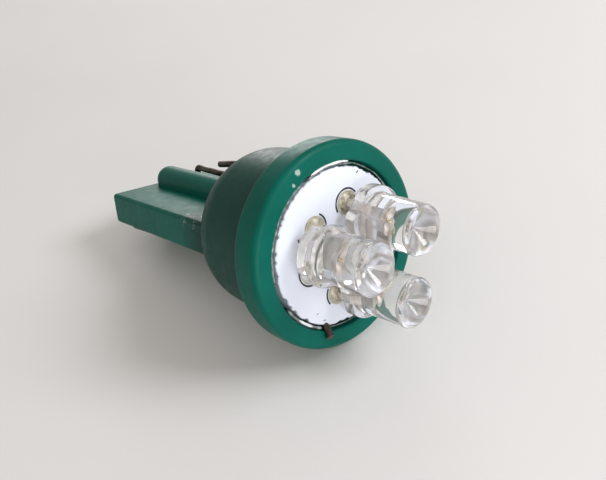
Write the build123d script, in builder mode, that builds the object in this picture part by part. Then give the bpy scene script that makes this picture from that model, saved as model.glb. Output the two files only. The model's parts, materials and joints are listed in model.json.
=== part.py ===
from build123d import *
from math import acos, atan2, cos, degrees, hypot, radians, sin
import os

os.makedirs("parts", exist_ok=True)

# A wedge-base bulb: three clear 3 mm lamps on a round board, in a one-piece plastic housing
# whose flat blade carries the two contact wires.
# The bulb's own frame has +Z along its axis towards the light, z = 0 at the front of the rim,
# X across the blade's width and Y through its thickness. Sizes are in millimetres.
# Every piece is drawn in that frame, and the last section lays them all down as the bulb rests.

# Housing
rim_radius = 6.4
rim_length = 2.0
rim_front_round = 0.42
rim_rear_round = 0.25
mouth_radius = 5.17
dome_front_radius = 5.6
dome_shoulder_radius = 5.3
dome_shoulder_depth = 6.2
dome_back_round = 3.3
dome_wall = 1.05
seat_width = 0.72

# Blade and its two keying ribs
blade_width = 8.9
blade_thickness = 2.28
blade_end_depth = 21.2
blade_round = 0.28
rib_radius = 1.05
rib_height = 1.41
rib_setback = 0.4

# Circuit board
board_gap = 0.34
board_thickness = 1.0
board_recess = 0.15
pad_radius = 0.75
pad_thickness = 0.05
hole_radius = 0.42

# Lamps: three on one circle a little off the bulb's axis, the first leaning inwards on its leads
# and put in the other way round
lamp_circle_centre = (-0.27, 0.15, 0)
lamp_circle_radius = 2.42
lamp_first_angle = -129.0
lamp_spacing_angle = 116.0
lamp_leans = (2.5, 0.0, 0.0)
lamp_turns = (180.0, 0.0, 0.0)
lens_radius = 1.5
lens_length = 4.3
lens_edge_round = 0.12
flange_radius = 1.9
flange_thickness = 0.77
flange_flat = 1.62
flange_lift = 0.78
dimple_radius = 1.15
dimple_depth = 0.75

# Lead frames inside the lamps, measured up from the board
lead_pitch = 2.54
lead_size = 0.5
lead_tail = 0.9
post_foot = 1.3
post_top = 2.95
anvil_knee = 1.95
anvil_half_width = 0.42
anode_width = 0.38
cup_radius = 0.5
cup_wall = 0.08
cup_floor_radius = 0.22
cup_depth = 0.33
cup_rise = 0.1
die_size = 0.26
die_thickness = 0.12
bond_wire_radius = 0.03
bond_wire_loop = 0.3
bond_wire_bend = 0.16

# Solder
solder_foot_radius = 0.62
solder_tip_radius = 0.37
solder_back_height = 0.7
solder_front_height = 0.18

# Contact wires and the two parts in line with them
wire_radius = 0.25
wire_clearance = 0.05
wire_offset = 3.2
wire_end_inset = 0.02
wire_lift = 0.27
wire_bend = 0.45
inline_offset = 2.2
inline_bottom_depth = 7.0
inline_run_out = 0.5
inline_jog = 0.8
resistor_length = 3.4
resistor_radius = 0.9
resistor_waist = 0.74
resistor_cap_length = 0.8
resistor_shoulder = 0.15
diode_length = 3.6
diode_radius = 0.9
diode_plug_radius = 0.55
diode_plug_length = 1.25
diode_seal_length = 0.45
diode_chip_size = 0.6
diode_end_round = 0.25
crossover_depth = 2.7
notch_circle_radius = 4.5
notch_turn_depth = 0.75
resistor_notch_angle = 72.0
diode_notch_angle = -96.0
stub_radius = 5.45
stub_rise = 0.32
hidden_lead_depth = 0.3
edge_solder_radius = 0.6
edge_solder_height = 0.6
edge_solder_gap = 0.1

# Adhesive beads between board and rim
bead_start_angles = (36.0, -112.0)
bead_sweep_angles = (30.0, 42.0)
bead_recess = 0.04

# How often the two resting angles are worked out from each other
rest_rounds = 12

# Places that follow from the sizes above
board_radius = mouth_radius - board_gap
seat_depth = board_recess + board_thickness
cavity_front_radius = mouth_radius - seat_width
cavity_shoulder_radius = dome_shoulder_radius - dome_wall
cavity_back_round = dome_back_round - dome_wall
blade_half_width = blade_width / 2
blade_half_thickness = blade_thickness / 2
rib_centre = blade_half_thickness + rib_height - rib_radius
rib_end_depth = blade_end_depth - rib_setback - rib_radius
lead_offset = lead_pitch / 2
lead_bottom = -board_thickness - lead_tail
front_pad_level = pad_thickness - board_recess
back_pad_level = -seat_depth - pad_thickness
lamp_angles = [lamp_first_angle + lamp_spacing_angle * count for count in range(3)]
fold_depth = blade_end_depth - wire_radius - wire_end_inset
fold_reach = blade_half_thickness + wire_radius + wire_lift


def lamp_spot(angle, aside):
    """A place on the lamps' circle, turned to face outwards, and a distance aside along it."""
    return Location(lamp_circle_centre, (0, 0, angle)) * Location((lamp_circle_radius, aside, 0))


def lamp_plane(angle, lean, turn):
    """The seat of one lamp on the board's front: it leans about its holes, and turns about its axis."""
    half_board = Location((0, 0, board_thickness / 2))
    hinge = lamp_spot(angle, 0) * Location((0, 0, -seat_depth)) * half_board
    leaning = hinge * Location((0, 0, 0), (0, -lean, 0)) * half_board
    return Plane(leaning * Location((0, 0, 0), (0, 0, turn)))


def frame_side(seat):
    """The plane that a lamp's lead frame is stamped in: x along the two leads, y up."""
    return Plane(origin=seat.origin, x_dir=seat.y_dir, z_dir=seat.x_dir)


def cathode(seat):
    """The lamp's first lead, with its anvil and the reflector cup that holds the die."""
    inner = -lead_offset + lead_size / 2
    outer = -lead_offset - lead_size / 2
    anvil_left = inner + cup_wall
    with BuildPart() as frame:
        with BuildSketch(frame_side(seat)):
            with BuildLine():
                Polyline(
                    (outer, lead_bottom),
                    (inner, lead_bottom),
                    (inner, post_foot),
                    (anvil_half_width, anvil_knee),
                    (anvil_half_width, post_top),
                    (anvil_left, post_top),
                    (anvil_left, anvil_knee),
                    (outer, post_foot),
                    close=True,
                )
            make_face()
        extrude(amount=lead_size / 2, both=True)
        with BuildSketch(frame_side(seat)):
            with BuildLine():
                Polyline(
                    (0, post_top - cup_depth - cup_wall),
                    (cup_floor_radius + cup_wall, post_top - cup_depth - cup_wall),
                    (cup_radius, post_top + cup_rise),
                    (0, post_top + cup_rise),
                    close=True,
                )
            make_face()
        revolve(axis=Axis(seat.origin, seat.z_dir))
        with BuildSketch(frame_side(seat)):
            with BuildLine():
                Polyline(
                    (0, post_top + cup_rise - cup_depth),
                    (cup_floor_radius, post_top + cup_rise - cup_depth),
                    (cup_radius - cup_wall, post_top + cup_rise),
                    (0, post_top + cup_rise),
                    close=True,
                )
            make_face()
        revolve(axis=Axis(seat.origin, seat.z_dir), mode=Mode.SUBTRACT)
    return frame


def anode(seat):
    """The lamp's second lead, which ends in the post that the bond wire lands on."""
    inner = lead_offset - lead_size / 2
    outer = lead_offset + lead_size / 2
    with BuildPart() as frame:
        with BuildSketch(frame_side(seat)):
            with BuildLine():
                Polyline(
                    (outer, lead_bottom),
                    (outer, post_foot),
                    (inner + cup_wall, anvil_knee),
                    (inner + cup_wall, post_top),
                    (inner + cup_wall - anode_width, post_top),
                    (inner + cup_wall - anode_width, anvil_knee),
                    (inner, post_foot),
                    (inner, lead_bottom),
                    close=True,
                )
            make_face()
        extrude(amount=lead_size / 2, both=True)
    return frame


def die(seat):
    """The light-emitting chip on the floor of the cup."""
    with BuildPart() as chip:
        with BuildSketch(seat.offset(post_top + cup_rise - cup_depth)):
            Rectangle(die_size, die_size)
        extrude(amount=die_thickness)
    return chip


def bond_wire(seat):
    """The fine wire from the top of the die over to the top of the anode's post."""
    die_top = post_top + cup_rise - cup_depth + die_thickness
    landing = lead_offset - lead_size / 2 + cup_wall - anode_width / 2
    loop_top = post_top + bond_wire_loop
    with BuildPart() as wire:
        with BuildLine(frame_side(seat)) as path:
            FilletPolyline(
                (0, die_top),
                (0, loop_top),
                (landing, loop_top),
                (landing, post_top),
                radius=bond_wire_bend,
            )
        with BuildSketch(path.line ^ 0):
            Circle(bond_wire_radius)
        sweep(path=path.line)
    return wire


def lens(seat, inner_pieces):
    """The clear epoxy body, cast round its lead frame, with a flange and a hollow cone in its end."""
    lens_top = flange_lift + lens_length
    with BuildPart() as body:
        with BuildSketch(seat.offset(flange_lift)):
            Circle(lens_radius)
        extrude(amount=lens_length)
        fillet(body.edges().sort_by(Axis(seat.origin, seat.z_dir))[-1], lens_edge_round)
        with BuildSketch(seat.offset(flange_lift)):
            Circle(flange_radius)
            with Locations((0, -flange_flat - flange_radius)):
                Rectangle(2 * flange_radius, 2 * flange_radius, mode=Mode.SUBTRACT)
        extrude(amount=flange_thickness)
        with BuildSketch(frame_side(seat)):
            with BuildLine():
                Polyline((0, lens_top - dimple_depth), (dimple_radius, lens_top), (0, lens_top), close=True)
            make_face()
        revolve(axis=Axis(seat.origin, seat.z_dir), mode=Mode.SUBTRACT)
        for piece in inner_pieces:
            add(piece.part, mode=Mode.SUBTRACT)
    return body


def round_wire(points, bends, radius):
    """A round wire along straight runs joined by tangent arcs."""
    with BuildPart() as wire:
        with BuildLine() as path:
            FilletPolyline(*points, radius=bends)
        with BuildSketch(path.line ^ 0):
            Circle(radius)
        sweep(path=path.line)
    return wire


def on_circle(radius, angle, height):
    """A point at a radius and angle about the bulb's axis."""
    return (radius * cos(radians(angle)), radius * sin(radians(angle)), height)


def inline_axis(side):
    """The axis of the part in line with one contact wire."""
    return Axis((side * inline_offset, 0, 0), (0, 0, 1))


def inline_body(side, outline):
    """A round component body turned from half its outline, given as (radius, depth) points."""
    with BuildPart() as body:
        with BuildSketch(Plane.XZ):
            with BuildLine():
                Polyline([(side * (inline_offset + out), -depth) for out, depth in outline], close=True)
            make_face()
        revolve(axis=inline_axis(side))
    return body


# Routes of the wires: down through the blade, across its end and back over one face
def contact_route(side, free_end):
    """The middle line of a contact wire from its component to its free end."""
    bore_top = inline_bottom_depth + inline_run_out + inline_jog
    return [
        (side * inline_offset, 0, -inline_bottom_depth),
        (side * inline_offset, 0, -inline_bottom_depth - inline_run_out),
        (side * wire_offset, 0, -bore_top),
        (side * wire_offset, 0, -fold_depth),
        (side * wire_offset, side * fold_reach, -fold_depth),
    ] + [(side * wire_offset, side * reach, -depth) for reach, depth in free_end]


def board_route(side, top_depth, notch_angle, ending):
    """The middle line of a component's other lead, up to its notch in the board's edge."""
    return [
        (side * inline_offset, 0, -top_depth),
        (side * inline_offset, 0, -crossover_depth),
        on_circle(notch_circle_radius, notch_angle, -crossover_depth),
    ] + ending


resistor_top_depth = inline_bottom_depth - resistor_length
diode_top_depth = inline_bottom_depth - diode_length
hooked_end = [(1.5, 14.9), (2.66, 14.6), (2.33, 17.3)]
hooked_bends = [wire_bend, wire_bend, wire_bend, wire_bend, 0.5, 0.4]
plain_end = [(1.42, 13.4)]
plain_bends = [wire_bend, wire_bend, wire_bend, wire_bend]
diode_contact_route = contact_route(-1, hooked_end)
resistor_contact_route = contact_route(1, plain_end)
stub_end = [
    on_circle(notch_circle_radius, resistor_notch_angle, -notch_turn_depth),
    on_circle(stub_radius, resistor_notch_angle, stub_rise),
]
resistor_board_route = board_route(1, resistor_top_depth, resistor_notch_angle, stub_end)
resistor_board_bends = [wire_bend, wire_bend, wire_bend]
hidden_end = [on_circle(notch_circle_radius, diode_notch_angle, -hidden_lead_depth)]
diode_board_route = board_route(-1, diode_top_depth, diode_notch_angle, hidden_end)
diode_board_bends = [wire_bend, wire_bend]
wire_ways = [
    round_wire(diode_contact_route, hooked_bends, wire_radius + wire_clearance),
    round_wire(resistor_contact_route, plain_bends, wire_radius + wire_clearance),
    round_wire(resistor_board_route, resistor_board_bends, wire_radius + wire_clearance),
    round_wire(diode_board_route, diode_board_bends, wire_radius + wire_clearance),
]

# The moulded housing: rim, domed body, blade and ribs in one piece, hollow behind the board
with BuildPart() as housing:
    with BuildSketch(Plane.XZ):
        with BuildLine():
            front_round = CenterArc(
                (rim_radius - rim_front_round, -rim_front_round), rim_front_round, 90, -90
            )
            rear_round = CenterArc(
                (rim_radius - rim_rear_round, rim_rear_round - rim_length), rim_rear_round, 0, -90
            )
            back_round = CenterArc(
                (dome_shoulder_radius - dome_back_round, -dome_shoulder_depth), dome_back_round, 0, -90
            )
            Line(front_round @ 1, rear_round @ 0)
            Polyline(rear_round @ 1, (dome_front_radius, -rim_length), back_round @ 0)
            Polyline(back_round @ 1, (0, -dome_shoulder_depth - dome_back_round), (0, 0), front_round @ 0)
        make_face()
    revolve(axis=Axis.Z)
    with BuildSketch(Plane.XZ):
        with Locations((0, -(blade_end_depth + dome_shoulder_depth) / 2)):
            Rectangle(blade_width, blade_end_depth - dome_shoulder_depth)
    blade = extrude(amount=blade_half_thickness, both=True, mode=Mode.PRIVATE)
    add(blade.fillet(blade_round, blade.edges()))
    for face in (-1, 1):
        with BuildSketch(Plane.XY.offset(-rib_end_depth)):
            with Locations((0, face * rib_centre)):
                Circle(rib_radius)
            with Locations((0, face * rib_centre / 2)):
                Rectangle(2 * rib_radius, rib_centre)
        extrude(amount=rib_end_depth - dome_shoulder_depth)
        with Locations((0, face * rib_centre, -rib_end_depth)):
            Sphere(rib_radius)
        with BuildSketch(Plane.XZ):
            with Locations((0, -rib_end_depth)):
                Circle(rib_radius)
        extrude(amount=-face * rib_centre)
    with BuildSketch(Plane.XZ):
        with BuildLine():
            cavity_round = CenterArc(
                (cavity_shoulder_radius - cavity_back_round, -dome_shoulder_depth),
                cavity_back_round,
                0,
                -90,
            )
            Polyline(
                cavity_round @ 0,
                (cavity_front_radius, -seat_depth),
                (mouth_radius, -seat_depth),
                (mouth_radius, 0),
                (0, 0),
                (0, -dome_shoulder_depth - cavity_back_round),
                cavity_round @ 1,
            )
        make_face()
    revolve(axis=Axis.Z, mode=Mode.SUBTRACT)
    for way in wire_ways:
        add(way.part, mode=Mode.SUBTRACT)
    for side in (-1, 1):
        with BuildSketch(Plane.XY.offset(-blade_end_depth)):
            with Locations((side * wire_offset, side * blade_half_thickness / 2)):
                Rectangle(2 * (wire_radius + wire_clearance), blade_half_thickness)
        extrude(amount=blade_end_depth - fold_depth, mode=Mode.SUBTRACT)

# The board, notched at its edge for the two leads that come up from behind
seats = [lamp_plane(angle, lean, turn) for angle, lean, turn in zip(lamp_angles, lamp_leans, lamp_turns)]
hole_spots = [lamp_spot(angle, side * lead_offset).position for angle in lamp_angles for side in (-1, 1)]
with BuildPart() as circuit_board:
    with BuildSketch(Plane.XY.offset(-seat_depth)):
        Circle(board_radius)
        with Locations(*hole_spots):
            Circle(hole_radius, mode=Mode.SUBTRACT)
    extrude(amount=board_thickness)
    for way in wire_ways:
        add(way.part, mode=Mode.SUBTRACT)

with BuildPart() as front_pads:
    with BuildSketch(Plane.XY.offset(-board_recess)):
        with Locations(*hole_spots):
            Circle(pad_radius)
            Circle(hole_radius, mode=Mode.SUBTRACT)
    extrude(amount=pad_thickness)

with BuildPart() as back_pads:
    with BuildSketch(Plane.XY.offset(-seat_depth)):
        with Locations(*hole_spots):
            Circle(pad_radius)
            Circle(hole_radius, mode=Mode.SUBTRACT)
    extrude(amount=-pad_thickness)

# The lamps and the solder that fills their holes
pieces = {
    "housing": housing,
    "circuit_board": circuit_board,
    "front_pads": front_pads,
    "back_pads": back_pads,
}
leads = []
for number, seat in enumerate(seats, start=1):
    lamp_cathode = cathode(seat)
    lamp_anode = anode(seat)
    lamp_die = die(seat)
    lamp_bond_wire = bond_wire(seat)
    pieces[f"lamp_{number}_cathode"] = lamp_cathode
    pieces[f"lamp_{number}_anode"] = lamp_anode
    pieces[f"lamp_{number}_die"] = lamp_die
    pieces[f"lamp_{number}_bond_wire"] = lamp_bond_wire
    pieces[f"lamp_{number}_lens"] = lens(seat, (lamp_cathode, lamp_anode, lamp_die, lamp_bond_wire))
    leads += [lamp_cathode, lamp_anode]

with BuildPart() as lead_solder:
    for spot in hole_spots:
        with BuildSketch(Plane(origin=(spot.X, spot.Y, 0), x_dir=(1, 0, 0), z_dir=(0, -1, 0))):
            with BuildLine():
                Polyline(
                    (0, front_pad_level + solder_front_height),
                    (solder_tip_radius, front_pad_level + solder_front_height),
                    (solder_foot_radius, front_pad_level),
                    (hole_radius, front_pad_level),
                    (hole_radius, back_pad_level),
                    (solder_foot_radius, back_pad_level),
                    (solder_tip_radius, back_pad_level - solder_back_height),
                    (0, back_pad_level - solder_back_height),
                    close=True,
                )
            make_face()
        revolve(axis=Axis((spot.X, spot.Y, 0), (0, 0, 1)))
    for lead in leads:
        add(lead.part, mode=Mode.SUBTRACT)
pieces["lead_solder"] = lead_solder

# The series resistor and the rectifier diode, each in line with one contact wire
pieces["resistor_body"] = inline_body(
    1,
    [
        (0, inline_bottom_depth),
        (resistor_radius, inline_bottom_depth),
        (resistor_radius, inline_bottom_depth - resistor_cap_length),
        (resistor_waist, inline_bottom_depth - resistor_cap_length - resistor_shoulder),
        (resistor_waist, resistor_top_depth + resistor_cap_length + resistor_shoulder),
        (resistor_radius, resistor_top_depth + resistor_cap_length),
        (resistor_radius, resistor_top_depth),
        (0, resistor_top_depth),
    ],
)
pieces["resistor_contact_wire"] = round_wire(resistor_contact_route, plain_bends, wire_radius)
pieces["resistor_board_lead"] = round_wire(resistor_board_route, resistor_board_bends, wire_radius)

chip_bottom_depth = inline_bottom_depth - diode_seal_length - diode_plug_length
chip_top_depth = diode_top_depth + diode_seal_length + diode_plug_length


def diode_plug(end_depth, seal_depth, chip_depth):
    """A metal plug sealed in the glass, with the stem that its lead is welded to."""
    return inline_body(
        -1,
        [
            (0, end_depth),
            (wire_radius, end_depth),
            (wire_radius, seal_depth),
            (diode_plug_radius, seal_depth),
            (diode_plug_radius, chip_depth),
            (0, chip_depth),
        ],
    )


lower_plug = diode_plug(inline_bottom_depth, inline_bottom_depth - diode_seal_length, chip_bottom_depth)
upper_plug = diode_plug(diode_top_depth, diode_top_depth + diode_seal_length, chip_top_depth)

with BuildPart() as diode_chip:
    with BuildSketch(Plane((-inline_offset, 0, -chip_bottom_depth))):
        Rectangle(diode_chip_size, diode_chip_size)
    extrude(amount=chip_bottom_depth - chip_top_depth)

with BuildPart() as diode_glass:
    with BuildSketch(Plane((-inline_offset, 0, -inline_bottom_depth))):
        Circle(diode_radius)
    extrude(amount=diode_length)
    fillet(diode_glass.edges(), diode_end_round)
    for piece in (lower_plug, upper_plug, diode_chip):
        add(piece.part, mode=Mode.SUBTRACT)

pieces["diode_glass"] = diode_glass
pieces["diode_lower_plug"] = lower_plug
pieces["diode_upper_plug"] = upper_plug
pieces["diode_chip"] = diode_chip
pieces["diode_contact_wire"] = round_wire(diode_contact_route, hooked_bends, wire_radius)
pieces["diode_board_lead"] = round_wire(diode_board_route, diode_board_bends, wire_radius)

# Solder that joins the two upper leads to the back of the board, inside the cavity wall
with BuildPart() as edge_solder:
    for angle in (resistor_notch_angle, diode_notch_angle):
        with BuildSketch(Plane(on_circle(notch_circle_radius, angle, -seat_depth))):
            Circle(edge_solder_radius)
        with BuildSketch(Plane(on_circle(notch_circle_radius, angle, -seat_depth - edge_solder_height))):
            Circle(wire_radius + wire_clearance)
        loft()
    with BuildSketch(Plane.XY.offset(-seat_depth)):
        Circle(cavity_front_radius - edge_solder_gap)
    extrude(amount=-edge_solder_height, mode=Mode.INTERSECT)
    for lead in (pieces["resistor_board_lead"], pieces["diode_board_lead"]):
        add(lead.part, mode=Mode.SUBTRACT)
pieces["edge_solder"] = edge_solder

# Beads of adhesive in the gap between the board's edge and the rim
with BuildPart() as adhesive_beads:
    for start, swept in zip(bead_start_angles, bead_sweep_angles):
        with BuildSketch(Plane.XZ.rotated((0, 0, start))):
            with Locations(((board_radius + mouth_radius) / 2, -(seat_depth + bead_recess) / 2)):
                Rectangle(board_gap, seat_depth - bead_recess)
        revolve(axis=Axis.Z, revolution_arc=swept)
pieces["adhesive_beads"] = adhesive_beads

# The resting attitude: the bulb lies on the rear edge of its rim, the end of one rib and one
# corner of the blade. Each contact is a round of known centre, so the tilt of the axis and the
# roll about it follow from the heights of the three centres.
rest_tilt = 0.0
rest_roll = 0.0
for _ in range(rest_rounds):
    rim_arm = rim_radius - rim_rear_round - rib_centre * cos(rest_roll)
    rim_span = rib_end_depth - rim_length + rim_rear_round
    rest_tilt = acos((rib_radius - rim_rear_round) / hypot(rim_arm, rim_span)) - atan2(rim_span, rim_arm)
    corner_rise = rib_centre - blade_half_thickness + blade_round
    corner_arm = blade_half_width - blade_round
    corner_drop = (blade_end_depth - blade_round - rib_end_depth) * sin(rest_tilt)
    level = (blade_round - rib_radius + corner_drop) / cos(rest_tilt)
    rest_roll = acos(level / hypot(corner_rise, corner_arm)) - atan2(corner_arm, corner_rise)
across = (-sin(rest_roll) * sin(rest_tilt), -cos(rest_roll), sin(rest_roll) * cos(rest_tilt))
along = (cos(rest_tilt), 0, sin(rest_tilt))
resting = Location(Plane(origin=(0, 0, 0), x_dir=across, z_dir=along))
print("tilt", round(degrees(rest_tilt), 2), "roll", round(degrees(rest_roll), 2))

# The row's origin is on the surface under the middle of the resting bulb
resting_boxes = [piece.part.moved(resting).bounding_box() for piece in pieces.values()]
middle_x = (min(box.min.X for box in resting_boxes) + max(box.max.X for box in resting_boxes)) / 2
middle_y = (min(box.min.Y for box in resting_boxes) + max(box.max.Y for box in resting_boxes)) / 2
lowest = min(box.min.Z for box in resting_boxes)
laid_down = Location((-middle_x, -middle_y, -lowest)) * resting
for label, piece in pieces.items():
    piece.part.label = label
    piece.part.location = laid_down
    export_step(piece.part, f"parts/{label}.step")
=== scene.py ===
import json
from math import cos, pi, radians, sin

import bmesh
import bpy
from mathutils import Matrix, Vector, noise


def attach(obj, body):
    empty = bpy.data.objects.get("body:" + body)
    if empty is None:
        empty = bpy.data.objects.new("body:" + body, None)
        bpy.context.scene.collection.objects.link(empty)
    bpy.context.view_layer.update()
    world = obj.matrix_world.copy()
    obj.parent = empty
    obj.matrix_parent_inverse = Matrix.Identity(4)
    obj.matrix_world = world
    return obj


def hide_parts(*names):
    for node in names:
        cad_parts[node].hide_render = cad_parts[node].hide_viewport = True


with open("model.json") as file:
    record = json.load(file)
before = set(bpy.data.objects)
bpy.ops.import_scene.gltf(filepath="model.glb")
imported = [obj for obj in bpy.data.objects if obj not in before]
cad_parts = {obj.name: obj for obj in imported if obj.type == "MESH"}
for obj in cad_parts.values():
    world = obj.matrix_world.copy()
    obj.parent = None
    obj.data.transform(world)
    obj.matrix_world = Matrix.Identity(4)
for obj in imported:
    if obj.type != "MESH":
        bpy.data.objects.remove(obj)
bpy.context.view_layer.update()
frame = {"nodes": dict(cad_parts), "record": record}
nodes = frame["nodes"]
mounts = {mount["name"]: mount for mount in frame["record"]["mounts"]}
MM = 0.001

# A wedge-base bulb lying on its side: three clear lamps on a white board in a green moulded housing.
# Pieces are drawn in the bulb's own frame in millimetres, with +Z towards the light, z = 0 at the
# front of the rim, X across the blade and Y through it, and are then laid down by bulb_place.

# Housing
rim_radius = 6.4
rim_length = 2.0
rim_front_round = 0.42
rim_rear_round = 0.25
mouth_radius = 5.17
mouth_round = 0.1
dome_front_radius = 5.6
dome_shoulder_radius = 5.3
dome_shoulder_depth = 6.2
dome_back_round = 3.3
dome_root_round = 0.22
dome_wall = 1.05
dome_taper = 0.1
dome_taper_depth = 1.4
seat_width = 0.72
blade_width = 8.9
blade_thickness = 2.28
blade_end_depth = 21.2
blade_round = 0.28
rib_radius = 1.05
rib_height = 1.41
rib_setback = 0.4
cut_past = 0.5

# Board, lamps and wires
board_gap = 0.34
board_thickness = 1.0
board_recess = 0.15
board_edge_round = 0.05
board_edge_band = 0.6
lamp_circle_centre = (-0.27, 0.15, 0)
lamp_circle_radius = 2.42
lamp_first_angle = -129.0
lamp_spacing_angle = 116.0
lamp_leans = (2.5, 0.0, 0.0)
lamp_turns = (180.0, 0.0, 0.0)
lead_pitch = 2.54
lens_radius = 1.5
lens_length = 4.3
lens_edge_round = 0.12
flange_radius = 1.9
flange_thickness = 0.77
flange_flat = 1.62
flange_lift = 0.78
dimple_radius = 1.15
dimple_depth = 0.75
wire_radius = 0.25
wire_clearance = 0.05
wire_offset = 3.2
wire_bend = 0.42
bore_depth = 3.0
fold_slot_depth = 0.57
fold_depth = 20.93
fold_reach = 1.66
component_offset = 2.2
notch_angle = 72.0

seat_depth = board_recess + board_thickness
board_radius = mouth_radius - board_gap
blade_half_width = blade_width / 2
blade_half_thickness = blade_thickness / 2
rib_centre = blade_half_thickness + rib_height - rib_radius
rib_end_depth = blade_end_depth - rib_setback - rib_radius
lamp_angles = [lamp_first_angle + lamp_spacing_angle * count for count in range(3)]

# The bulb's frame as it rests, from the mounts at the blade's end and on its upper contact
blade_end = Vector(mounts["wedge_end"]["pos_m"])
bulb_z = -Vector(mounts["wedge_end"]["axis"]).normalized()
bulb_y = -Vector(mounts["upper_contact"]["axis"]).normalized()
bulb_x = bulb_y.cross(bulb_z).normalized()
bulb_y = bulb_z.cross(bulb_x)
bulb_place = Matrix.Translation(blade_end + bulb_z * blade_end_depth * MM) @ Matrix(
    (bulb_x, bulb_y, bulb_z)
).transposed().to_4x4()


def laid(point):
    """A point given in the bulb's frame in millimetres, as it lies in metres."""
    return bulb_place @ (Vector(point) * MM)


# ---------------------------------------------------------------- camera, floor and light

camera_spot = Vector((26.23, -14.06, 29.63))
camera_aim = Vector((-0.5866, 0.3210, -0.7434))
camera_top = Vector((-0.271, -0.943, -0.196))
sensor_width = 36.0
camera_lens = 42.0

camera_data = bpy.data.cameras.new("camera")
camera_data.sensor_width = sensor_width
camera_data.lens = camera_lens
camera_data.clip_start = MM
camera_data.clip_end = 10.0
camera = bpy.data.objects.new("camera", camera_data)
bpy.context.scene.collection.objects.link(camera)
backward = -camera_aim.normalized()
rightward = camera_top.cross(backward).normalized()
upward = backward.cross(rightward)
turn = Matrix((rightward, upward, backward)).transposed().to_4x4()
camera.matrix_world = bulb_place @ Matrix.Translation(camera_spot * MM) @ turn
bpy.context.scene.camera = camera

view = bpy.context.scene.view_settings
view.view_transform = "Standard"


def linear(code):
    """An sRGB hex colour as linear red, green, blue and alpha."""
    shares = [int(code[place:place + 2], 16) / 255 for place in (1, 3, 5)]
    return [s / 12.92 if s <= 0.04045 else ((s + 0.055) / 1.055) ** 2.4 for s in shares] + [1.0]


def put(tree, kind, sockets=(), **settings):
    """Adds a node with its settings. Sockets gives each input a value, or the output that feeds it."""
    made = tree.nodes.new("ShaderNode" + kind)
    for name, value in settings.items():
        setattr(made, name, value)
    for key, value in dict(sockets).items():
        if isinstance(value, bpy.types.NodeSocket):
            tree.links.new(value, made.inputs[key])
        else:
            made.inputs[key].default_value = value
    return made


def per(size_mm):
    """How many times a pattern of that size repeats in a metre."""
    return 1.0 / (size_mm * MM)


world = bpy.data.worlds.new("studio")
world.use_nodes = True
bpy.context.scene.world = world
sky = world.node_tree
sky.nodes.clear()
sky_way = put(sky, "TexCoord")
sky_parts = put(sky, "SeparateXYZ", {0: sky_way.outputs["Generated"]})
sky_height = put(sky, "MapRange", {0: sky_parts.outputs["Z"], 1: -0.1, 2: 0.9, 3: 0.0, 4: 1.0})
sky_tone = put(
    sky, "Mix", {0: sky_height.outputs[0], 6: linear("#FFF5EC"), 7: linear("#FFFAF5")}, data_type="RGBA"
)
sky_glow = put(sky, "Background", {"Color": sky_tone.outputs[2], "Strength": 0.53})
put(sky, "OutputWorld", {"Surface": sky_glow.outputs[0]})


def softbox(name, spot, aim, size, power, tint):
    """A round studio light at a spot in millimetres, turned towards another."""
    lamp = bpy.data.lights.new(name, "AREA")
    lamp.shape = "DISK"
    lamp.size = size * MM
    lamp.energy = power
    lamp.color = linear(tint)[:3]
    holder = bpy.data.objects.new(name, lamp)
    bpy.context.scene.collection.objects.link(holder)
    facing = (Vector(spot) - Vector(aim)).normalized().to_track_quat("Z", "Y")
    holder.matrix_world = Matrix.Translation(Vector(spot) * MM) @ facing.to_matrix().to_4x4()


softbox("side_softbox", (130, 95, 130), (0, 0, 4), 90, 0.25, "#FAFCFF")
softbox("back_softbox", (-150, 125, 34), (0, 0, 6), 90, 0.14, "#FFFFFF")
softbox("front_softbox", (120, -40, 15), (6, 0, 5), 70, 0.07, "#FFFFFF")


def mesh_piece(name, bm, material, replaced, sharp=35.0):
    """Makes a piece from a mesh in millimetres, smooth except at its sharp edges."""
    bmesh.ops.recalc_face_normals(bm, faces=bm.faces)
    bm.transform(bulb_place @ Matrix.Diagonal((MM, MM, MM, 1)))
    data = bpy.data.meshes.new(name)
    bm.to_mesh(data)
    bm.free()
    piece = bpy.data.objects.new(name, data)
    bpy.context.scene.collection.objects.link(piece)
    return dressed(piece, material, replaced, sharp)


def refinished(name, material):
    """Gives a node that is shown with its own shape its finish."""
    shape = nodes[name].data
    shape.materials.clear()
    shape.materials.append(material)


def dressed(piece, material, replaced, sharp=35.0):
    """Gives a piece its material, shading, body and replaced nodes."""
    piece.data.materials.clear()
    piece.data.materials.append(material)
    if piece.type == "MESH":
        piece.data.shade_smooth()
        piece.data.set_sharp_from_angle(angle=radians(sharp))
    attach(piece, "root")
    if replaced:
        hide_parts(*replaced)
    return piece


# ---------------------------------------------------------------- finishes

def finish(name, colour="#FFFFFF", **sockets):
    """A material with its principled shader and the place on the piece that its patterns follow."""
    material = bpy.data.materials.new(name)
    material.use_nodes = True
    tree = material.node_tree
    tree.nodes.clear()
    place = put(tree, "TexCoord").outputs["Object"]
    shader = put(tree, "BsdfPrincipled", {"Base Color": linear(colour)})
    for key, value in sockets.items():
        shader.inputs[key.replace("_", " ")].default_value = value
    put(tree, "OutputMaterial", {"Surface": shader.outputs[0]})
    return material, tree, place, shader


# the worst rubbed spots on the housing: place, reach in millimetres and strength
rubbed_spots = (
    ((4.2, -1.5, -9.8), 3.0, 1.35),
    ((2.6, -4.2, -8.2), 2.2, 1.15),
    ((0.2, -4.7, -8.2), 2.4, 1.1),
    ((2.75, -5.15, -0.05), 0.5, 1.75),
    ((3.15, -4.5, -0.05), 0.3, 1.75),
    ((4.6, -3.0, -0.1), 0.35, 1.6),
)


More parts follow.
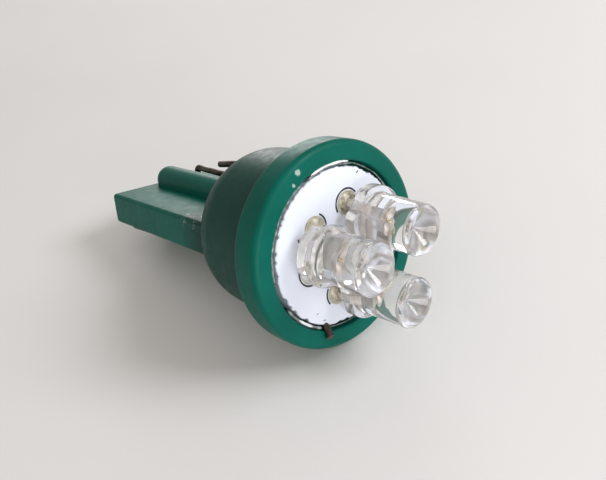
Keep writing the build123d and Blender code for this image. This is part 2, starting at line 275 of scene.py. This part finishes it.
# the band of wear round the blade's root, by depth, and the wear along the rim's front
wear_begins, wear_worst, wear_fades, wear_ends = -5.0, -9.2, -9.4, -11.5
band_wear = 0.78
front_wear = 0.55
# how much of the speckle shows, and how chalky it gets
speckle_starts, speckle_full, speckle_cover = 0.285, 0.35, 0.7
# the dome is coloured darker and greyer than the rest between these depths
dark_dome_front, dark_dome_full, dark_dome_rear, dark_dome_end = -2.1, -2.6, -9.2, -11.0


def moulded_nylon():
    """Green injection-moulded nylon: satin, a little uneven, chalky where it has been rubbed."""
    material, tree, place, shader = finish("moulded_nylon", IOR=1.5, Specular_IOR_Level=0.12)
    along = put(tree, "VectorMath", {0: place, 1: bulb_z}, operation="DOT_PRODUCT").outputs["Value"]
    front_face = bulb_z.dot(bulb_place.translation)
    height = put(tree, "Math", {0: along, 1: front_face}, operation="SUBTRACT").outputs[0]
    cloud = put(tree, "TexNoise", {"Vector": place, "Scale": per(3.0), "Detail": 3.0})
    tone = put(
        tree,
        "Mix",
        {0: cloud.outputs["Fac"], 6: linear("#004E41"), 7: linear("#00665A")},
        data_type="RGBA",
    )
    # rubbed specks gather where the blade meets the dome, and along the front of the rim
    speck = put(tree, "TexNoise", {"Vector": place, "Scale": per(0.16), "Detail": 6.0, "Roughness": 0.7})
    patch = put(tree, "TexNoise", {"Vector": place, "Scale": per(1.3), "Detail": 2.0})
    rear = put(tree, "MapRange", {0: height, 1: wear_begins * MM, 2: wear_worst * MM, 3: 0.0, 4: 1.0})
    before = put(tree, "MapRange", {0: height, 1: wear_ends * MM, 2: wear_fades * MM, 3: 0.0, 4: 1.0})
    band = put(tree, "Math", {0: rear.outputs[0], 1: before.outputs[0]}, operation="MULTIPLY")
    front = put(tree, "MapRange", {0: height, 1: -0.6 * MM, 2: -0.1 * MM, 3: 0.0, 4: front_wear})
    soft_band = put(tree, "Math", {0: band.outputs[0], 1: band_wear}, operation="MULTIPLY")
    where = put(tree, "Math", {0: soft_band.outputs[0], 1: front.outputs[0]}, operation="ADD")
    both = put(tree, "Math", {0: speck.outputs["Fac"], 1: patch.outputs["Fac"]}, operation="MULTIPLY")
    most = where.outputs[0]
    for spot, reach, strength in rubbed_spots:
        away = put(tree, "VectorMath", {0: place, 1: laid(spot)}, operation="DISTANCE").outputs["Value"]
        near = put(tree, "MapRange", {0: away, 1: reach * MM, 2: 0.0, 3: 0.0, 4: strength})
        most = put(tree, "Math", {0: most, 1: near.outputs[0]}, operation="MAXIMUM").outputs[0]
    held = put(tree, "Math", {0: both.outputs[0], 1: most}, operation="MULTIPLY")
    rubbed = put(
        tree, "MapRange", {0: held.outputs[0], 1: speckle_starts, 2: speckle_full, 3: 0.0, 4: speckle_cover}
    )
    # colours the dome darker and greyer (#0A4038) between these depths
    behind = put(tree, "MapRange", {0: height, 1: dark_dome_front * MM, 2: dark_dome_full * MM, 3: 0.0, 4: 1.0})
    ahead = put(tree, "MapRange", {0: height, 1: dark_dome_end * MM, 2: dark_dome_rear * MM, 3: 0.0, 4: 1.0})
    domed = put(tree, "Math", {0: behind.outputs[0], 1: ahead.outputs[0]}, operation="MULTIPLY")
    darker_dome_tone = put(
        tree,
        "Mix",
        {0: domed.outputs[0], 6: tone.outputs[2], 7: linear("#0A4038")},
        data_type="RGBA",
    )
    colour = put(
        tree,
        "Mix",
        {0: rubbed.outputs[0], 6: darker_dome_tone.outputs[2], 7: linear("#B8C8C0")},
        data_type="RGBA",
    )
    tree.links.new(colour.outputs[2], shader.inputs["Base Color"])
    grain = put(tree, "TexNoise", {"Vector": place, "Scale": per(0.5), "Detail": 5.0})
    rough = put(tree, "MapRange", {0: grain.outputs["Fac"], 1: 0.3, 2: 0.7, 3: 0.36, 4: 0.5})
    tree.links.new(rough.outputs[0], shader.inputs["Roughness"])
    swell = put(tree, "TexNoise", {"Vector": place, "Scale": per(0.9), "Detail": 4.0})
    relief = put(tree, "Bump", {"Height": swell.outputs["Fac"], "Strength": 0.5, "Distance": 0.03 * MM})
    tree.links.new(relief.outputs[0], shader.inputs["Normal"])
    return material


def screened_mask():
    """White solder mask screened on glass laminate: glossy, cool white, with slight orange peel."""
    material, tree, place, shader = finish("screened_mask", IOR=1.5, Roughness=0.25)
    cloud = put(tree, "TexNoise", {"Vector": place, "Scale": per(2.5), "Detail": 3.0})
    tone = put(
        tree,
        "Mix",
        {0: cloud.outputs["Fac"], 6: linear("#DDE3F1"), 7: linear("#E4E9F5")},
        data_type="RGBA",
    )
    tree.links.new(tone.outputs[2], shader.inputs["Base Color"])
    peel = put(tree, "TexNoise", {"Vector": place, "Scale": per(0.35), "Detail": 2.0})
    relief = put(tree, "Bump", {"Height": peel.outputs["Fac"], "Strength": 0.4, "Distance": 0.01 * MM})
    tree.links.new(relief.outputs[0], shader.inputs["Normal"])
    return material


def cast_epoxy():
    """Water-clear epoxy cast in a polished mould: glossy, with faint flow ripples."""
    material, tree, place, shader = finish(
        "cast_epoxy", "#FFFFFF", IOR=1.5, Roughness=0.05, Transmission_Weight=0.9
    )
    flow = put(tree, "TexNoise", {"Vector": place, "Scale": per(1.1), "Detail": 2.0})
    relief = put(tree, "Bump", {"Height": flow.outputs["Fac"], "Strength": 0.5, "Distance": 0.04 * MM})
    tree.links.new(relief.outputs[0], shader.inputs["Normal"])
    return material


def metal(name, light, dark, size, rough_low, rough_high, dent):
    """A metal whose tone, gloss and surface vary together over patches of a size in millimetres."""
    material, tree, place, shader = finish(name, Metallic=1.0)
    patch = put(tree, "TexNoise", {"Vector": place, "Scale": per(size), "Detail": 4.0})
    spread = put(tree, "MapRange", {0: patch.outputs["Fac"], 1: 0.35, 2: 0.65, 3: 0.0, 4: 1.0})
    tone = put(
        tree, "Mix", {0: spread.outputs[0], 6: linear(dark), 7: linear(light)}, data_type="RGBA"
    )
    tree.links.new(tone.outputs[2], shader.inputs["Base Color"])
    rough = put(tree, "MapRange", {0: patch.outputs["Fac"], 1: 0.3, 2: 0.7, 3: rough_high, 4: rough_low})
    tree.links.new(rough.outputs[0], shader.inputs["Roughness"])
    relief = put(tree, "Bump", {"Height": patch.outputs["Fac"], "Strength": 0.6, "Distance": dent * MM})
    tree.links.new(relief.outputs[0], shader.inputs["Normal"])
    return material


def coated(name, light, dark, size, roughness, dent, **sockets):
    """A non-metal coat or filler whose tone wanders over patches of a size in millimetres."""
    material, tree, place, shader = finish(name, Roughness=roughness, **sockets)
    patch = put(tree, "TexNoise", {"Vector": place, "Scale": per(size), "Detail": 4.0})
    spread = put(tree, "MapRange", {0: patch.outputs["Fac"], 1: 0.35, 2: 0.65, 3: 0.0, 4: 1.0})
    tone = put(
        tree, "Mix", {0: spread.outputs[0], 6: linear(dark), 7: linear(light)}, data_type="RGBA"
    )
    tree.links.new(tone.outputs[2], shader.inputs["Base Color"])
    relief = put(tree, "Bump", {"Height": patch.outputs["Fac"], "Strength": 0.5, "Distance": dent * MM})
    tree.links.new(relief.outputs[0], shader.inputs["Normal"])
    return material


nylon = moulded_nylon()
mask = screened_mask()
epoxy = cast_epoxy()
# hot-dipped tin under dried flux: dull, olive to straw coloured
pad_tin = coated("dipped_tin", "#CBC8B8", "#9F9A84", 0.4, 0.5, 0.03, IOR=1.5, Metallic=0.2)
# tin-lead solder, hand-flowed: bright crests and grey hollows
solder = coated("flowed_solder", "#C6C2B2", "#857D66", 0.25, 0.5, 0.08, IOR=1.5, Metallic=0.25)
# stamped steel plated with silver: pale, warm, soft gloss from the die
plated_steel = metal("silver_plated_steel", "#F4EEEA", "#D6CDC7", 0.4, 0.3, 0.5, 0.004)
# tinned copper wire gone brown in use
contact_wire = metal("tarnished_copper_wire", "#6F675E", "#3B342F", 1.2, 0.4, 0.6, 0.004)
# drawn gold bond wire
gold = metal("drawn_gold_wire", "#EFE3C6", "#DCCBA2", 0.1, 0.2, 0.3, 0.001)
# dumet plug: copper-clad alloy, reddish where the glass seals to it
dumet = metal("dumet_plug", "#C98A66", "#9A5D42", 0.4, 0.3, 0.45, 0.005)
# sawn semiconductor: dark with a grey sheen
chip = coated("sawn_semiconductor", "#6A6258", "#4A443E", 0.1, 0.3, 0.002, IOR=2.2)
# fired lacquer on a resistor: beige, satin
lacquer = coated("fired_lacquer", "#D9C39A", "#C7AE82", 0.8, 0.4, 0.01, IOR=1.5)
# moulded lead glass round a diode: orange-brown and clear
lead_glass = coated(
    "moulded_lead_glass", "#E0A070", "#C98455", 0.8, 0.05, 0.01, IOR=1.58, Transmission_Weight=0.9
)
# cured epoxy adhesive squeezed out round the board: grey, glossy, lumpy
adhesive = coated("cured_adhesive", "#9BA5A6", "#3E4A48", 0.35, 0.15, 0.03, IOR=1.5)
# the same adhesive, coloured white and wet-looking as a painted highlight along the top of the gap
adhesive_painted_highlight = coated("adhesive_painted_highlight", "#F4F7F8", "#D5DEE0", 0.6, 0.08, 0.02, IOR=1.5)
# printed legend ink: black, matt
ink = coated("legend_ink", "#2B2A2C", "#111113", 0.2, 0.6, 0.003, IOR=1.45)
# woven cloth seen as a plain pale ground
cloth = coated("pale_ground", "#E6E5E4", "#E3E2E1", 30.0, 0.9, 0.01, IOR=1.4, Specular_IOR_Level=0.1)

floor_data = bpy.data.meshes.new("floor")
floor_bm = bmesh.new()
bmesh.ops.create_circle(floor_bm, cap_ends=True, radius=1.5, segments=96)
floor_bm.to_mesh(floor_data)
floor_bm.free()
ground = bpy.data.objects.new("floor", floor_data)
bpy.context.scene.collection.objects.link(ground)
floor_data.materials.append(cloth)


# ---------------------------------------------------------------- shapes shared by the pieces

def arc(centre, radius, start, end, steps):
    """Points along a part of a circle, from one angle to another."""
    turns = [radians(start + (end - start) * step / steps) for step in range(steps + 1)]
    return [(centre[0] + radius * cos(turn), centre[1] + radius * sin(turn)) for turn in turns]


def turned(outline, segments=144, shaped=None):
    """A body turned from half its outline of (radius, height) points; shaped may change each point."""
    bm = bmesh.new()
    rings = []
    for radius, height in outline:
        if radius < 1e-6:
            rings.append([bm.verts.new((0, 0, height))])
            continue
        ring = []
        for step in range(segments):
            turn = 2 * pi * step / segments
            reach, way, level = shaped(radius, turn, height) if shaped else (radius, turn, height)
            ring.append(bm.verts.new((reach * cos(way), reach * sin(way), level)))
        rings.append(ring)
    for lower, upper in zip(rings, rings[1:]):
        for step in range(segments):
            after = (step + 1) % segments
            corners = [lower[step % len(lower)], lower[after % len(lower)]]
            corners += [upper[after % len(upper)], upper[step % len(upper)]]
            corners = list(dict.fromkeys(corners))
            if len(corners) > 2:
                bm.faces.new(corners)
    bmesh.ops.recalc_face_normals(bm, faces=bm.faces)
    return bm


def loose(bm, name):
    """A helper object from a mesh in millimetres, to cut or join others with."""
    bmesh.ops.recalc_face_normals(bm, faces=bm.faces)
    data = bpy.data.meshes.new(name)
    bm.to_mesh(data)
    bm.free()
    helper = bpy.data.objects.new(name, data)
    bpy.context.scene.collection.objects.link(helper)
    return helper


def combined(base, steps):
    """Joins and cuts a helper by others, and gives the result as a mesh in millimetres."""
    for operation, other in steps:
        change = base.modifiers.new(operation, "BOOLEAN")
        change.operation = operation
        change.solver = "EXACT"
        change.object = other
    graph = bpy.context.evaluated_depsgraph_get()
    bm = bmesh.new()
    bm.from_mesh(base.evaluated_get(graph).to_mesh())
    for helper in [base] + [other for _, other in steps]:
        bpy.data.objects.remove(helper)
    return bm


def block(low, high, rounding=0.0, steps=5):
    """A box between two corners, with its edges rounded."""
    bm = bmesh.new()
    bmesh.ops.create_cube(bm, size=1)
    size = [top - bottom for bottom, top in zip(low, high)]
    middle = [(top + bottom) / 2 for bottom, top in zip(low, high)]
    bm.transform(Matrix.Translation(middle) @ Matrix.Diagonal((*size, 1)))
    if rounding:
        bmesh.ops.bevel(
            bm, geom=bm.edges[:], offset=rounding, segments=steps, profile=0.5, affect="EDGES"
        )
    return bm


# ---------------------------------------------------------------- housing

def rib_body(steps=32):
    """Both keying ribs as one rounded bar through the blade."""
    bm = bmesh.new()
    rings = arc((0, 0), rib_radius, -90, 90, steps // 2)
    for across in (-rib_centre, rib_centre):
        for height in (-rib_end_depth, -dome_shoulder_depth - dome_wall):
            for reach, rise in rings:
                for x, y in arc((0, across), max(reach, 0), 0, 360, steps)[:-1]:
                    bm.verts.new((x, y, height + rise))
    bmesh.ops.remove_doubles(bm, verts=bm.verts[:], dist=rib_radius / 1000)
    hull = bmesh.ops.convex_hull(bm, input=bm.verts[:])
    inside = [item for item in hull["geom_interior"] if isinstance(item, bmesh.types.BMVert)]
    bmesh.ops.delete(bm, geom=inside, context="VERTS")
    return bm


def housing_body():
    """Rim, dome, blade and ribs as one moulding, hollow behind the board and bored for the wires."""
    back_centre = (dome_shoulder_radius - dome_back_round, -dome_shoulder_depth)
    outline = [(0, -dome_shoulder_depth - dome_back_round)]
    outline += arc(back_centre, dome_back_round, -90, 0, 26)
    outline += [(dome_front_radius - dome_taper, -rim_length - dome_taper_depth)]
    root = (dome_front_radius + dome_root_round, -rim_length - dome_root_round)
    outline += arc(root, dome_root_round, 180, 90, 5)
    outline += arc((rim_radius - rim_rear_round, rim_rear_round - rim_length), rim_rear_round, -90, 0, 7)
    outline += arc((rim_radius - rim_front_round, -rim_front_round), rim_front_round, 0, 90, 10)
    outline += [(0, 0)]
    inner_round = dome_back_round - dome_wall
    hollow = [(0, -dome_shoulder_depth - inner_round)]
    hollow += arc(back_centre, inner_round, -90, 0, 12)
    hollow += [(mouth_radius - seat_width, -seat_depth), (mouth_radius, -seat_depth)]
    hollow += arc((mouth_radius + mouth_round, -mouth_round), mouth_round, 180, 90, 5)
    hollow += [(mouth_radius + mouth_round, cut_past), (0, cut_past)]
    shell = loose(turned(outline, 192), "shell")
    blade = block(
        (-blade_half_width, -blade_half_thickness, -blade_end_depth),
        (blade_half_width, blade_half_thickness, -dome_shoulder_depth),
        blade_round,
    )
    steps = [
        ("UNION", loose(blade, "blade")),
        ("UNION", loose(rib_body(), "ribs")),
        ("DIFFERENCE", loose(turned(hollow, 192), "hollow")),
    ]
    bore = wire_radius + wire_clearance
    for side in (-1, 1):
        hole = bmesh.new()
        place = Matrix.Translation((side * wire_offset, 0, -blade_end_depth + bore_depth / 2 - cut_past))
        bmesh.ops.create_cone(
            hole, cap_ends=True, segments=24, radius1=bore, radius2=bore, depth=bore_depth, matrix=place
        )
        steps.append(("DIFFERENCE", loose(hole, "bore")))
        reach = sorted((0, side * 2 * blade_half_thickness))
        slot = block(
            (side * wire_offset - bore, reach[0], -blade_end_depth - cut_past),
            (side * wire_offset + bore, reach[1], -blade_end_depth + fold_slot_depth),
        )
        steps.append(("DIFFERENCE", loose(slot, "slot")))
    return combined(shell, steps)


housing = mesh_piece("moulded_housing", housing_body(), nylon, ["housing"], sharp=32.0)
weighted = housing.modifiers.new("even_shading", "WEIGHTED_NORMAL")
weighted.keep_sharp = True


# ---------------------------------------------------------------- board, print and pads

def lamp_spot(angle, aside):
    """A place on the lamps' circle, turned to face outwards, and a distance aside along it."""
    turn = Matrix.Rotation(radians(angle), 4, "Z")
    return Matrix.Translation(lamp_circle_centre) @ turn @ Matrix.Translation((lamp_circle_radius, aside, 0))


def lamp_seat(angle, lean, turn):
    """The seat of one lamp on the board's front: it leans about its holes, and turns about its axis."""
    half_board = Matrix.Translation((0, 0, board_thickness / 2))
    low = Matrix.Translation((0, 0, -seat_depth))
    leaning = lamp_spot(angle, 0) @ low @ half_board @ Matrix.Rotation(radians(-lean), 4, "Y") @ half_board
    return leaning @ Matrix.Rotation(radians(turn), 4, "Z")


pad_spots = [
    lamp_spot(angle, side * lead_pitch / 2).translation for angle in lamp_angles for side in (-1, 1)
]


def snapped_edge(radius, turn, height):
    """The board's edge as it was snapped from its panel: nibbled all round, more where it tore."""
    if radius < board_radius - board_edge_band / 2:
        return radius, turn, height
    place = Vector((cos(turn) * 9, sin(turn) * 9, 0.4))
    fine = max(0.0, noise.noise(place * 1.9)) * 0.22
    coarse = max(0.0, noise.noise(place * 0.6) - 0.1) * 0.2
    return radius - fine - coarse, turn, height


board_outline = [
    (0, -seat_depth),
    (board_radius - board_edge_band, -seat_depth),
    (board_radius, -seat_depth),
    (board_radius, -board_recess - board_edge_round),
    (board_radius - board_edge_round, -board_recess),
    (board_radius - board_edge_band, -board_recess),
    (0, -board_recess),
]
board_bm = turned(board_outline, 360, snapped_edge)
mesh_piece("white_board", board_bm, mask, ["circuit_board"], sharp=25.0)


def flat_strip(bm, points, width, level, thickness):
    """Adds a thin raised strip of ink along points on the board."""
    rows = []
    for place, point in enumerate(points):
        before = points[max(place - 1, 0)]
        after = points[min(place + 1, len(points) - 1)]
        along = Vector((after[0] - before[0], after[1] - before[1])).normalized()
        out = Vector((-along.y, along.x)) * width / 2
        wide = 1 + 0.25 * noise.noise(Vector((point[0] * 3, point[1] * 3, 0.5)))
        sides = [(point[0] + out.x * wide, point[1] + out.y * wide)]
        sides += [(point[0] - out.x * wide, point[1] - out.y * wide)]
        rows.append([bm.verts.new((x, y, z)) for z in (level, level + thickness) for x, y in sides])
    for first, second in zip(rows, rows[1:]):
        for one, two in ((0, 1), (1, 3), (3, 2), (2, 0)):
            bm.faces.new((first[one], first[two], second[two], second[one]))
    bm.faces.new(rows[0])
    bm.faces.new(rows[-1])


# each pad has part of a printed ring round it, given by where it starts and how far it runs
ring_radius = 0.87
ring_width = 0.11
print_thickness = 0.012
ring_runs = [(150, 100), (-146, 174), (-180, 62), (-22, 146), (-32, 72), (120, 90)]
print_bm = bmesh.new()
for spot, (start, run) in zip(pad_spots, ring_runs):
    ring = arc((spot.x, spot.y), ring_radius, start, start + run, 40)
    flat_strip(print_bm, ring, ring_width, -board_recess, print_thickness)
# stray dots of ink, each given by its middle, length, width and turn
for x, y, length, width, turn in (
    (-1.78, -4.19, 0.2, 0.07, 30),
    (-2.19, -3.11, 0.18, 0.09, 150),
    (3.07, -1.22, 0.2, 0.08, 100),
    (2.14, 3.63, 0.12, 0.05, 20),
    (1.64, 4.22, 0.22, 0.04, 170),
):
    step = Vector((cos(radians(turn)), sin(radians(turn)))) * length / 2
    dots = [(x - step.x, y - step.y), (x, y), (x + step.x, y + step.y)]
    flat_strip(print_bm, dots, width, -board_recess, print_thickness)
mesh_piece("board_print", print_bm, ink, [], sharp=30.0)

for name in ("front_pads", "back_pads"):
    refinished(name, pad_tin)


# ---------------------------------------------------------------- lamps

def lens_body():
    """One clear lamp body in its seat's frame: flange with its flat, barrel and hollow cone."""
    top = flange_lift + lens_length
    flange_top = flange_lift + flange_thickness
    soft = 0.1
    outline = [(0, flange_lift)]
    outline += arc((flange_radius - soft, flange_lift + soft), soft, -90, 0, 5)
    outline += arc((flange_radius - soft, flange_top - soft), soft, 0, 90, 5)
    outline += arc((lens_radius + soft, flange_top + soft), soft, -90, -180, 4)
    outline += [(lens_radius, top - lens_length / 3)]
    outline += arc((lens_radius - lens_edge_round, top - lens_edge_round), lens_edge_round, 0, 90, 7)
    outline += [(dimple_radius + 0.02, top), (dimple_radius - 0.03, top - 0.02)]
    for share in (0.8, 0.6, 0.4, 0.2, 0.08):
        outline.append((dimple_radius * share, top - dimple_depth * (1 - share)))
    outline += [(0.03, top - dimple_depth * 0.96), (0, top - dimple_depth * 0.965)]

    def flat_side(radius, turn, height):
        if radius > lens_radius + soft and sin(turn) < 0:
            radius = min(radius, max(flange_flat / -sin(turn), lens_radius + soft))
        return radius, turn, height

    return turned(outline, 180, flat_side)


seats = [lamp_seat(*facts) for facts in zip(lamp_angles, lamp_leans, lamp_turns)]
for number, seat in enumerate(seats, start=1):
    bm = lens_body()
    bm.transform(seat)
    mesh_piece(f"lamp_{number}_clear_body", bm, epoxy, [f"lamp_{number}_lens"], sharp=40.0)
    for part in ("cathode", "anode"):
        refinished(f"lamp_{number}_{part}", plated_steel)
    refinished(f"lamp_{number}_die", chip)
    refinished(f"lamp_{number}_bond_wire", gold)


# ---------------------------------------------------------------- wires, components and adhesive

def formed_wire(name, points, bend, replaced, material):
    """A stiff round wire formed with tight bends, as a smooth curve."""
    data = bpy.data.curves.new(name, "CURVE")
    data.dimensions = "3D"
    data.bevel_depth = wire_radius * MM
    data.bevel_resolution = 6
    data.resolution_u = 10
    data.use_fill_caps = True
    line = data.splines.new("BEZIER")
    stations = [(Vector(points[0]), None, None)]
    for before, corner, after in zip(points, points[1:], points[2:]):
        before, corner, after = Vector(before), Vector(corner), Vector(after)
        back, on = (before - corner).normalized(), (after - corner).normalized()
        stations.append((corner + back * bend, None, corner))
        stations.append((corner + on * bend, corner, None))
    stations.append((Vector(points[-1]), None, None))
    line.bezier_points.add(len(stations) - 1)
    for knot, (spot, from_corner, to_corner) in zip(line.bezier_points, stations):
        knot.co = laid(spot)
        knot.handle_left_type = knot.handle_right_type = "FREE"
        knot.handle_left = laid(spot.lerp(from_corner, 0.55) if from_corner else spot)
        knot.handle_right = laid(spot.lerp(to_corner, 0.55) if to_corner else spot)
    wire = bpy.data.objects.new(name, data)
    bpy.context.scene.collection.objects.link(wire)
    return dressed(wire, material, replaced)


notch_turn = radians(notch_angle)
notch_way = Vector((cos(notch_turn), sin(notch_turn), 0))
formed_wire(
    "upper_contact_wire",
    [
        (-component_offset, 0, -7.0),
        (-component_offset, 0, -7.5),
        (-wire_offset, 0, -8.3),
        (-wire_offset, 0, -fold_depth),
        (-wire_offset, -fold_reach, -fold_depth),
        (-wire_offset, -1.5, -14.9),
        (-wire_offset, -2.66, -14.6),
        (-wire_offset, -2.33, -17.3),
    ],
    wire_bend,
    ["diode_contact_wire"],
    contact_wire,
)
formed_wire(
    "lower_contact_wire",
    [
        (component_offset, 0, -7.0),
        (component_offset, 0, -7.5),
        (wire_offset, 0, -8.3),
        (wire_offset, 0, -fold_depth),
        (wire_offset, fold_reach, -fold_depth),
        (wire_offset, 1.42, -13.4),
    ],
    wire_bend,
    ["resistor_contact_wire"],
    contact_wire,
)
formed_wire(
    "cut_lead",
    [
        (component_offset, 0, -3.6),
        (component_offset, 0, -2.7),
        notch_way * 4.5 + Vector((0, 0, -2.7)),
        notch_way * 4.5 + Vector((0, 0, -0.75)),
        notch_way * 5.45 + Vector((0, 0, 0.32)),
    ],
    wire_bend,
    ["resistor_board_lead"],
    contact_wire,
)
for name, material in (
    ("diode_board_lead", contact_wire),
    ("diode_glass", lead_glass),
    ("diode_lower_plug", dumet),
    ("diode_upper_plug", dumet),
    ("diode_chip", chip),
    ("resistor_body", lacquer),
    ("lead_solder", solder),
    ("edge_solder", solder),
):
    refinished(name, material)


def bead(name, runs, material):
    """Beads squeezed out beside the board, each its start, sweep, line radius, half thickness and level."""
    bm = bmesh.new()
    sides = 10
    for start, sweep, line_radius, half, level in runs:
        count = max(8, int(abs(sweep) * 1.5))
        rows = []
        for step in range(count + 1):
            share = step / count
            turn = radians(start + sweep * share)
            taper = min(1.0, (min(share, 1 - share) * count + 0.3) / 5) ** 0.5
            lump = 1 + 0.55 * noise.noise(Vector((cos(turn) * 8, sin(turn) * 8, level * 5)))
            wander = 0.05 * noise.noise(Vector((cos(turn) * 5, sin(turn) * 5, 3.0 + level)))
            size = half * taper * lump
            row = []
            for side in range(sides):
                around = 2 * pi * side / sides
                reach = line_radius + wander + size * cos(around)
                row.append(bm.verts.new((reach * cos(turn), reach * sin(turn), level + size * sin(around))))
            rows.append(row)
        for first, second in zip(rows, rows[1:]):
            for side in range(sides):
                after = (side + 1) % sides
                bm.faces.new((first[side], first[after], second[after], second[side]))
        bm.faces.new(rows[0])
        bm.faces.new(rows[-1])
    return mesh_piece(name, bm, material, ["adhesive_beads"], sharp=60.0)


bead(
    "adhesive_strands",
    [
        (32, 36, 5.02, 0.1, -0.2),
        (76, 180, 5.0, 0.045, -0.3),
        (-106, 40, 4.95, 0.07, -0.22),
        (-60, 70, 5.0, 0.06, -0.25),
    ],
    adhesive,
)
# a thin bead at the top of the gap whose near-white colour is a painted highlight
bead("adhesive_bead_painted_highlight", [(-102, 33, 5.1, 0.075, -0.08), (44, 14, 5.0, 0.07, -0.1)], adhesive_painted_highlight)

bpy.context.view_layer.update()
